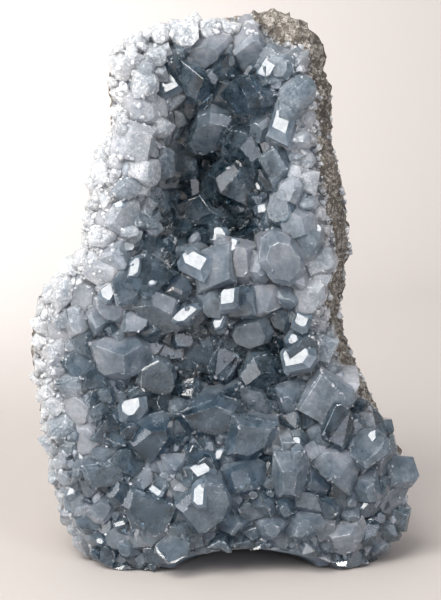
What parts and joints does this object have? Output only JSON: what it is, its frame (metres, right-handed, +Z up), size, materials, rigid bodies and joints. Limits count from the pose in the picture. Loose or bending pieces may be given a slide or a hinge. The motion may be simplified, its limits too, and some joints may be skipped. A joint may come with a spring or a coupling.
{
  "type": "celestite crystal cluster",
  "caption": "Standing cluster of pale blue celestite crystals lining a hollow in a boot-shaped piece of limestone, cut flat at its base.",
  "frame": {"origin": "on the flat sawn base, under the middle of the piece", "axes": "+Z up, +X to the viewer's right, -Y towards the viewer, out of the hollow with the crystals"},
  "size_m": [0.1396, 0.0949, 0.1999],
  "materials": {
    "limestone": "rough, granular, broken",
    "celestite": "clear to milky blue-grey crystal with flat glassy faces"
  },
  "bodies": {
    "root": {"limestone_matrix": "limestone", "celestite_crystals": "celestite"}
  },
  "joints": []
}
